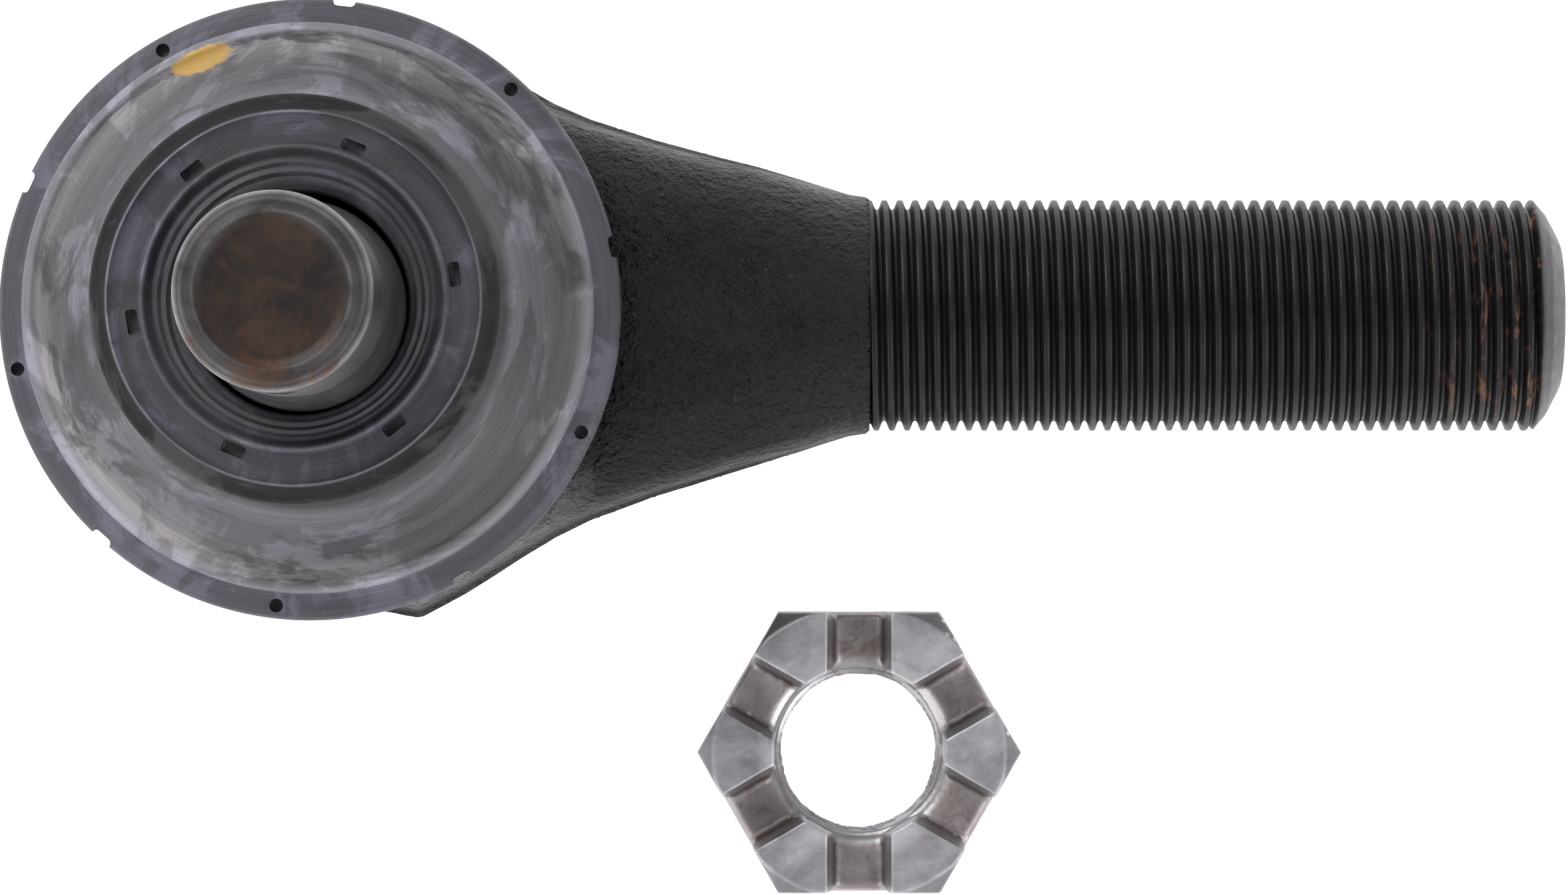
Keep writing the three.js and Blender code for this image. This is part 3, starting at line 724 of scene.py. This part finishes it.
def nut_steel():
    """Bare forged steel: grey lands with painted highlights, browner slot floors, painted shade in corners
    and on the slot walls, polished bore edge.
    """
    look = Look("nut_steel", 0.45, metallic=0.55)
    cloud = look.noise(110, 6, 0.6, 0.4)
    fine = look.noise(900, 4, 0.65)
    r, z = look.radius((NUT_X, NUT_Y)), look.offset(2)
    color = look.mix(look.between(cloud, 0.38, 0.62), (0.33, 0.320, 0.348), (0.54, 0.528, 0.562))
    mottle = look.between(look.noise(380, 6, 0.75, 0.8), 0.42, 0.62)
    color = look.mix(look.math("MULTIPLY", mottle, 0.28), color, (0.17, 0.165, 0.180))
    # Painted highlight: a lighter band on the lands' inner ends, just below the top.
    inner_land = look.all_of(look.between(r, 14.8, 12.8), look.between(z, NUT_TOP - 1.2, NUT_TOP - 0.5),
                             look.between(cloud, 0.36, 0.56, 0.3, 0.9))
    color = look.mix(inner_land, color, (0.60, 0.60, 0.63))
    corners = look.all_of(look.between(r, 20.2, 20.7),
                          look.between(look.axis(2, look.facing), 0.2, 0.5))
    color = look.mix(look.math("MULTIPLY", corners, 0.62), color, (0.09, 0.085, 0.085))
    low = look.all_of(look.between(z, NUT_TOP - 2.0, NUT_TOP - 7.0),
                      look.between(z, NUT_TOP - 11.0, NUT_TOP - 9.0), look.between(r, 20.2, 19.4))
    floor_color = look.mix(look.between(cloud, 0.40, 0.62), (0.34, 0.300, 0.300), (0.53, 0.475, 0.475))
    stain = look.between(look.noise(230, 7, 0.72, 1.2), 0.50, 0.64)
    floor_color = look.mix(look.math("MULTIPLY", stain, 0.50), floor_color, (0.15, 0.100, 0.078))
    color = look.mix(low, color, floor_color)
    # Painted shade: dark brown in the hollow corners where the slot floors meet the walls.
    corner_shade = look.between(look.math("ADD", look.edges, look.math("MULTIPLY", cloud, 0.06)),
                         0.525, 0.465)
    color = look.mix(look.math("MULTIPLY", corner_shade, 0.80), color, (0.040, 0.028, 0.022))
    # Lighter on the crisp edges: worn metal, with a painted highlight along the lands' edges.
    worn = look.between(look.math("ADD", look.edges, look.math("MULTIPLY", fine, 0.03)),
                        0.545, 0.60)
    color = look.mix(look.math("MULTIPLY", worn, 0.75), color, (0.68, 0.67, 0.68))
    # Painted shade down the steep slot walls, dark brown.
    walls = look.all_of(look.between(look.axis(2, look.facing), 0.80, 0.55),
                        look.between(r, 19.3, 18.9), look.between(r, 12.2, 12.6),
                        look.between(z, NUT_TOP - 9.0, NUT_TOP - 7.8))
    color = look.mix(look.math("MULTIPLY", walls, 0.66), color, (0.060, 0.048, 0.043))
    outside = look.all_of(look.between(look.axis(2, look.facing), 0.5, 0.2), look.between(r, 19.0, 19.3))
    color = look.mix(look.math("MULTIPLY", outside, 0.55), color, (0.13, 0.125, 0.128))
    polished = look.all_of(look.between(r, 13.3, 12.7), look.between(r, 10.9, 11.3),
                           look.between(z, NUT_TOP - 11.5, NUT_TOP - 9.8),
                           look.between(z, NUT_TOP - 6.6, NUT_TOP - 7.6))
    color = look.mix(look.math("MULTIPLY", polished, look.between(cloud, 0.35, 0.6, 0.35, 0.9)),
                     color, (0.56, 0.56, 0.58))
    inner = look.between(r, 17.5, 12.5)
    spots = look.between(look.noise(150, 7, 0.72, 0.8), 0.56, 0.66)
    rust = look.mix(fine, (0.10, 0.035, 0.012), (0.28, 0.12, 0.05))
    color = look.mix(look.math("MULTIPLY", look.all_of(spots, inner), 0.45), color, rust)
    rough = look.math("SUBTRACT", look.between(cloud, 0.3, 0.7, 0.36, 0.52),
                      look.math("MULTIPLY", polished, 0.15))
    normal = look.bump(cloud, 0.25, 0.0006)
    return look.finish(color, rough, look.bump(fine, 0.35, 0.00012, normal))


def plain_paint(name, color):
    look = Look(name, 0.45)
    grain = look.noise(300, 4)
    shade_of = look.mix(grain, color, tuple(1.9 * c for c in color))
    return look.finish(shade_of, look.between(grain, 0.3, 0.7, 0.38, 0.55),
                       look.bump(grain, 0.3, 0.0003))


def dress(piece, material, body, replaced=()):
    """Material, body and the CAD nodes that the piece stands for."""
    piece.data.materials.clear()
    piece.data.materials.append(material)
    if isinstance(body, str):
        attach(piece, body)
    if replaced:
        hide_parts(*replaced)


# ---- forged socket ------------------------------------------------------------------------

# Neck stations: x, half width, top, bottom and squareness of the section.
NECK = np.array([
    [0, 36.5, 15.4, -27, 5],
    [7, 38.8, 15.4, -26.6, 4.8],
    [14, 39.9, 15.3, -26, 4.5],
    [20, 36.7, 15.3, -25, 4.2],
    [27.2, 32.3, 15.3, -23.6, 4],
    [32.3, 29.3, 15.3, -22.4, 3.6],
    [37.3, 27.0, 15.3, -21.4, 3.3],
    [45.8, 24.1, 15.4, -19.6, 2.9],
    [56, 21.2, 15.6, -17.9, 2.5],
    [66.1, 18.5, 15.9, -16.8, 2.2],
    [72.9, 16.5, 16.0, -16.4, 2],
    [78, 15.9, 15.9, -15.9, 2],
])
NECK_END_X = 75.6
SOCKET_R = 38.5
SHOULDER_Z = 16.2                        # the socket's top, which the boot's flange lies on
SPIGOT_R, SPIGOT_Z = 33, 20.5            # the collar of steel inside the boot's foot
BALL_R = 18
# The flanks lean out below the shoulder, and the forging is a little fuller on the near side.
FLANK_X = (0, 12, 30, 40, 60)
FLANK_LEAN = (0.5, 2.4, 2.4, 1.0, 0)
NEAR_SIDE = (0.3, 0.9, 0.8, 0.6, 0)


def neck_distance(x, y, z):
    half, top, bottom, square = (np.interp(x, NECK[:, 0], NECK[:, i]) for i in range(1, 5))
    y = y + np.interp(x, FLANK_X, NEAR_SIDE)
    half = half - np.interp(x, FLANK_X, FLANK_LEAN) * np.clip((z - 1) / 11, 0, 1)
    height = np.where(z > 0, top, -bottom)
    u = np.abs(y) / half
    v = np.abs(z) / height
    reach = (u ** square + v ** square) ** (1 / square)
    body = (reach - 1) * np.minimum(half, height)
    return np.maximum(body, np.maximum(x - NECK_END_X, 2 - x))


def socket_distance(x, y, z):
    r = np.sqrt(x * x + y * y)
    draft = SOCKET_R - np.abs(z) * 0.035
    wall = smooth_max(r - draft, np.maximum(z - SHOULDER_Z, BASE_Z - z), 2.6)
    spigot = smooth_max(r - SPIGOT_R, z - SPIGOT_Z, 0.8)
    outer = smooth_min(wall, neck_distance(x, y, z), 3.5)
    flash = 0.4 * np.exp(-(z / 0.8) ** 2)
    dish = 1.3 * np.exp(-((x - 53) / 9) ** 2 - ((y + 1) / 10) ** 2)
    outer = outer - flash * np.clip((76 - x) / 16, 0, 1) + np.where(z > 8, dish, 0)
    outer = outer + 0.10 * ripple(x, y, z, 9) + 0.03 * ripple(y, z, x, 3.1)
    outer = np.minimum(outer, np.maximum(spigot, -z))
    bore = np.maximum(r - 24.5, np.maximum(z - 11, -26.5 - z))
    seat = np.maximum(r - 28.5, np.maximum(z + 26, -30.7 - z))
    crimp = np.maximum(r - 26.6 - 1.2 * np.clip(-31.2 - z, 0, 3), z + 30.6)
    mouth = np.maximum(r - BALL_R - (z - 11) * 0.505, 10.9 - z)
    hollow = np.minimum(np.minimum(bore, seat), np.minimum(crimp, mouth))
    return np.maximum(outer, -hollow)


def forged_socket():
    piece = carve("forged_socket", socket_distance, (-40, -43, BASE_Z), (77, 43, 21), 0.7)
    shade(piece, 60)
    dress(piece, black_paint(), "socket", ["socket_housing"])


def shank_thread():
    tip = [(SHANK_R + 1, SHANK_START_X), (SHANK_R + 0.05, SHANK_END_X - 3.7),
           (SHANK_R - 1.9, SHANK_END_X - 2.0), (SHANK_R - 5.0, SHANK_END_X - 0.35),
           (SHANK_R - 5.8, SHANK_END_X)]
    points, faces = threaded(SHANK_R, SHANK_PITCH, SHANK_START_X, SHANK_END_X, tip, 2.6, 3.4,
                             columns=160)
    along_x = points[:, [2, 1, 0]] * (1, -1, 1)
    piece = weld(new_object("shank_thread", along_x, faces))
    shade(piece, 32)
    dress(piece, thread_paint(), "socket")


# ---- stud ---------------------------------------------------------------------------------


STUD_THREAD_R = 12.65
STUD_THREAD_START = 61.9
STUD_TIP = 3.2                           # the plain, rounded end above the thread


def ball_stud():
    ball = arc(0, 0, BALL_R, -53.66, 50.3, 39)
    shaft = [(0, BALL_FLAT_Z), *ball, (11.5, 20), (12.1, 22.5), (13.9, 30), (13.9, 42),
             (12.8, 60), (12.5, 60.4), (11.9, 60.9), (11.9, 61.8), (11.4, 63), (0, 63)]
    body = turned("ball_stud", shaft, 200)
    top = STUD_END_Z
    tip = turned("tip", [(0, top - 4), (12.66, top - 4), (12.7, top - 2.6), (12.5, top - 1.9),
                         (12.05, top - 1.3), (11.4, top - 0.75), (10.8, top - 0.3), (10.3, top - 0.05),
                         (9.9, top), (9.5, top - 0.2), (9.1, top - 0.45), (8.3, top - 0.6),
                         (0, top - 0.65)], 200)
    outline = [(13, 61), (13, top)]
    points, faces = threaded(STUD_THREAD_R, STUD_PITCH, STUD_THREAD_START, top - STUD_TIP, outline,
                             1.2, 0.8)
    thread = weld(new_object("thread", points, faces))
    hole = turned("hole", [(0, -20), (2.6, -20), (2.6, 20), (0, 20)], 48)
    for vertex in hole.data.vertices:
        x, y, z = (vertex.co - BALL) / MM
        vertex.co = Vector((x, z, COTTER_HOLE_Z - y)) * MM + BALL
    cut(thread, [hole])
    join(body, [thread, tip])
    shade(body, 32)
    dress(body, stud_steel(), "stud", ["ball_stud"])


# ---- boot ---------------------------------------------------------------------------------

RIM_NOTCHES = [83.7 + 72 * i for i in range(5)]
RIM_HOLES = [119.6 + 72 * i for i in range(5)]
COLLAR_SLOTS = [8.4 + 60 * i for i in range(6)]
FLANGE_BORE_R = 33.8                     # clears the socket's spigot as the skirt folds
FLANGE_GAP = 0.2                         # keeps the flange off the uneven forging as it turns
REST_PLACE = "rest_place"


def at(radius, degrees):
    turn = math.radians(degrees)
    return radius * math.cos(turn), radius * math.sin(turn)


def keep_rest_place(piece):
    """Stores where each point is at rest, so that the bloom stays on the rubber as it folds."""
    rest = piece.data.attributes.new(REST_PLACE, "FLOAT_VECTOR", "POINT")
    rest.data.foreach_set("vector", [c for vertex in piece.data.vertices for c in vertex.co])


def dust_boot():
    """Skirt and collar, one rubber moulding."""
    z0 = FLANGE_HIGH.z
    low, high = COLLAR_LOW.z, COLLAR_HIGH.z
    skirt = smooth_outline([
        (FLANGE_BORE_R, z0 + 0.25), (35.5, z0 + 0.2), (37.8, z0 + 0.25), (38.5, z0 + 1.3), (38.2, z0 + 2.7),
        (37.2, z0 + 3.3), (36.4, z0 + 3.15), (35.4, z0 + 3.3), (33.6, z0 + 3.9), (31.2, z0 + 5.1),
        (29.0, z0 + 6.9), (27.4, z0 + 9.0), (25.9, low + 0.3)], 5)
    collar = [
        (26.2, low + 0.15), (COLLAR_R - 0.15, low + 0.5), (COLLAR_R, low + 1.0),
        (COLLAR_R, high - 3.0), *arc(COLLAR_R - 1.5, high - 2.9, 1.5, 0, 60, 5),
        (25.1, high - 0.75), (24.75, high - 0.45), (24.4, high - 0.75), (22.8, high - 0.85),
        (20.9, high - 0.75), *arc(20.1, high - 0.45, 0.45, 20, 160, 5), (19.3, high - 0.9),
        (18.9, high - 1.2), (18.3, high - 0.95), (17.8, high - 1.25), (17.2, high - 1.0),
        (16.7, high - 1.4), (16.0, high - 1.25), (15.5, high - 1.5),
        *arc(15.5, high - 2.3, 0.75, 90, 180, 5),
        (14.75, low + 1.5), (14.85, low + 0.2), (15.6, low - 0.2)]
    inside = smooth_outline([
        (16.6, low), (16.6, low + 2.6), (24.9, low + 2.6), (24.9, low), (24.9, z0 + 9.4),
        (26.2, z0 + 6.6), (29.2, z0 + 3.8), (32.6, z0 + 1.7)], 1)
    boot = turned("dust_boot", skirt[:-1] + collar + inside, 320)
    shift_rubber(boot, z0, low)
    cutters = [rounded_block("slot", (1.5, 3.3, 3.6), (21.6, high - 0.4), degrees, 0.35)
               for degrees in COLLAR_SLOTS]
    for cutter in cutters:
        shift_rubber(cutter, z0, low)
    cut(boot, cutters)
    shade(boot, 40)
    keep_rest_place(boot)
    dress(boot, boot_rubber(), None, ["boot_skirt", "boot_collar"])
    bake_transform(boot)


def shift_rubber(piece, low, high):
    """Slides the piece off centre: by RIM_SHIFT up to low, and from high on by BORE_SHIFT at the
    lip and COLLAR_SHIFT outside it."""
    foot, lip, outside = (Vector((*shift, 0)) * MM
                          for shift in (RIM_SHIFT, BORE_SHIFT, COLLAR_SHIFT))
    for vertex in piece.data.vertices:
        x, y, z = (vertex.co - BALL) / MM
        outer_share = np.interp(math.hypot(x, y), LIP_R, (0, 1))
        vertex.co += foot.lerp(lip.lerp(outside, outer_share), np.interp(z, (low, high), (0, 1)))


def boot_flange():
    low, high = FLANGE_LOW.z, FLANGE_HIGH.z
    foot = low + FLANGE_GAP
    outline = [(FLANGE_BORE_R, foot), (BOOT_R - 0.8, foot), (BOOT_R - 0.2, foot + 0.35),
               (BOOT_R, foot + 0.9), (BOOT_R - 0.1, high - 1.0), (BOOT_R - 0.6, high - 0.45),
               (BOOT_R - 1.6, high - 0.1), (BOOT_R - 3.0, high), (FLANGE_BORE_R, high)]
    flange = turned("boot_flange_rubber", outline, 320)
    cutters = [rounded_block("notch", (2.4, 3.0, 6), (BOOT_R + 0.4, high), degrees, 0.6)
               for degrees in RIM_NOTCHES]
    for degrees in RIM_HOLES:
        cutters.append(turned("hole", [(0, low + 0.6), (0.85, low + 0.6), (1.0, high + 1),
                                       (0, high + 1)], 24, at(40.2, degrees)))
    cut(flange, cutters)
    shift_rubber(flange, high, high + 1)
    shade(flange, 40)
    keep_rest_place(flange)
    dress(flange, boot_rubber("flange_rubber"), "boot_foot", ["boot_flange"])


# ---- nut ----------------------------------------------------------------------------------

NUT_X = (NUT_LOW.x + NUT_HIGH.x) / 2
NUT_Y = (NUT_LOW.y + NUT_HIGH.y) / 2
NUT_TOP = NUT_HIGH.z
NUT_HALF_FLATS = (NUT_HIGH.y - NUT_LOW.y) / 2
NUT_BORE_R = 10.8
NUT_TOP_R = 20.3                         # the corners are bevelled outside these circles
NUT_FOOT_R = 18.8
NUT_SLOT_WIDTH = 8.8
NUT_SLOT_DRAFT = 0.12                    # the slots' walls lean, per unit of height
DRAFT_COSINE = 0.99                      # makes a leaning wall's field a true distance
NUT_SLOT_DEPTH = 8
NUT_SLOT_FLOOR = NUT_TOP - NUT_SLOT_DEPTH


def nut_distance(x, y, z):
    x, y = x - NUT_X, y - NUT_Y
    r = np.sqrt(x * x + y * y)
    angle = np.arctan2(y, x)
    hexagon = np.full_like(r, -99.0)
    for degrees in (30, 90, 150, 210, 270, 330):
        a = math.radians(degrees)
        hexagon = np.maximum(hexagon, x * math.cos(a) + y * math.sin(a) - NUT_HALF_FLATS)
    top_cone = (r - NUT_TOP_R) * 0.66 + (z - NUT_TOP) * 0.75
    foot_cone = (r - NUT_FOOT_R) * 0.5 + (BASE_Z - z) * 0.86
    body = smooth_max(hexagon, np.maximum(z - NUT_TOP, BASE_Z - z), 0.5)
    body = smooth_max(body, np.maximum(top_cone, foot_cone), 0.3)
    above_floor = z - NUT_SLOT_FLOOR
    slots = np.full_like(r, 99.0)
    for degrees in (30, 90, 150):
        a = math.radians(degrees)
        across = np.abs(-x * math.sin(a) + y * math.cos(a))
        wall = across - NUT_SLOT_WIDTH / 2 + (NUT_SLOT_DEPTH - above_floor) * NUT_SLOT_DRAFT
        slots = np.minimum(slots, smooth_max(wall * DRAFT_COSINE, -above_floor, 1.2))
    low_edge = np.clip(1.3 - above_floor / 2, 0, 1)
    body = smooth_max(body, -slots, 0.35 + 1.0 * low_edge)
    phase = (z / STUD_PITCH - angle / (2 * math.pi)) % 1.0
    groove = 0.95 * np.clip(2 - 4 * np.abs(phase - 0.5), 0, 1)
    lead = np.clip((BASE_Z + 1.6 - z) * 0.9, 0, 3)
    counterbore = np.clip((above_floor + 2.2) * 0.5, 0, 1.1)
    bore = r - np.maximum(NUT_BORE_R + groove, NUT_BORE_R + np.maximum(lead, counterbore))
    near_floor = np.exp(-((above_floor + 0.3) / 1.2) ** 2)
    body = smooth_max(body, -bore, 0.3 + 2.0 * near_floor)
    return body + 0.05 * ripple(x, y, z, 1.4)


def castle_nut():
    low = (NUT_LOW.x, NUT_LOW.y, BASE_Z)
    high = (NUT_HIGH.x, NUT_HIGH.y, NUT_TOP)
    nut = carve("castle_nut_steel", nut_distance, low, high, 0.26)
    shade(nut, 60)
    dress(nut, nut_steel(), "nut", ["castle_nut"])


# ---- underside ----------------------------------------------------------------------------


def end_cover():
    low = local("end_cover")[0].z
    outline = smooth_outline([(5.2, -26), (10, -26.1), (14.6, -26.4), (17, -27.6), (19.6, -29.6),
                              (22, low), (28.2, low)], 5)
    outline += [(28.2, -27.8), (22.6, -27.8), (16.6, -23.2), (5.2, -23.2)]
    cover = turned("end_cover_plate", outline, 200)
    shade(cover, 40)
    dress(cover, plain_paint("cover_paint", (0.016, 0.016, 0.018)), "socket",
          ["end_cover"])


NIPPLE_HALF_FLATS = 5.55


def grease_fitting():
    mouth = local("grease_fitting")[0].z
    outline = [(0.9, mouth), (1.6, mouth), *arc(1.9, mouth + 1.3, 1.3, -90, 0, 5),
               (3.2, mouth + 1.6), (2.5, mouth + 2.4), (2.5, -28.9), (4.8, -28.7),
               (NIPPLE_HALF_FLATS, -28.2), (NIPPLE_HALF_FLATS, -26.4), (4.9, -26.3),
               (4.9, -22.4), (1.8, -22.4), (1.8, mouth + 1.4), (0.9, mouth + 0.5)]
    fitting = turned("grease_nipple", outline, 96)
    for vertex in fitting.data.vertices:
        x, y, z = (vertex.co - BALL) / MM
        r = math.hypot(x, y)
        if r > 5.3:
            facet = math.radians(60) * round(math.atan2(y, x) / math.radians(60) - 0.5)
            facet += math.radians(30)
            wanted = NIPPLE_HALF_FLATS / math.cos(math.atan2(y, x) - facet)
            vertex.co = Vector((x * wanted / r, y * wanted / r, z)) * MM + BALL
    shade(fitting, 30)
    zinc = bare_steel("nipple_metal", (0.42, 0.40, 0.33), (0.58, 0.55, 0.46), 0.3, 0.0, 2.0)
    dress(fitting, zinc, "socket", ["grease_fitting"])


def hidden_parts():
    """CAD nodes inside the socket keep their shape and get their material."""
    steel = bare_steel("bearing_steel", (0.24, 0.24, 0.23), (0.36, 0.36, 0.35), 0.3, 0.0)
    spring = bare_steel("spring_steel", (0.34, 0.34, 0.35), (0.46, 0.46, 0.47), 0.25, 0.0, 2.0)
    insert = bare_steel("insert_steel", (0.26, 0.26, 0.26), (0.40, 0.40, 0.40), 0.35, 0.02)
    rubber = plain_paint("seal_rubber", (0.012, 0.012, 0.012))
    looks = {"upper_bearing": steel, "lower_bearing": steel, "preload_spring": spring,
             "grease_check_ball": spring, "grease_check_spring": spring,
             "collar_insert": insert, "cover_seal": rubber}
    for node, material in looks.items():
        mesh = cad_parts[node].data
        mesh.materials.clear()
        mesh.materials.append(material)


# ---- floor --------------------------------------------------------------------------------


def add_floor():
    bpy.ops.mesh.primitive_plane_add(size=6, location=(0, 0, CAD_BOX[0][2] - 0.0004))
    floor = bpy.context.object
    floor.name = "floor"
    look = Look("floor_paper", 0.9)
    grain = look.noise(25, 3)
    look.shader.inputs["Specular IOR Level"].default_value = 0.1
    look.shader.inputs["Emission Color"].default_value = (1, 1, 1, 1)
    look.shader.inputs["Emission Strength"].default_value = FLOOR_GLOW
    look.finish(look.mix(grain, (0.84, 0.84, 0.84), (0.87, 0.87, 0.87)), 0.9)
    floor.data.materials.append(look.material)


add_floor()
forged_socket()
shank_thread()
ball_stud()
dust_boot()
boot_flange()
castle_nut()
end_cover()
grease_fitting()
hidden_parts()
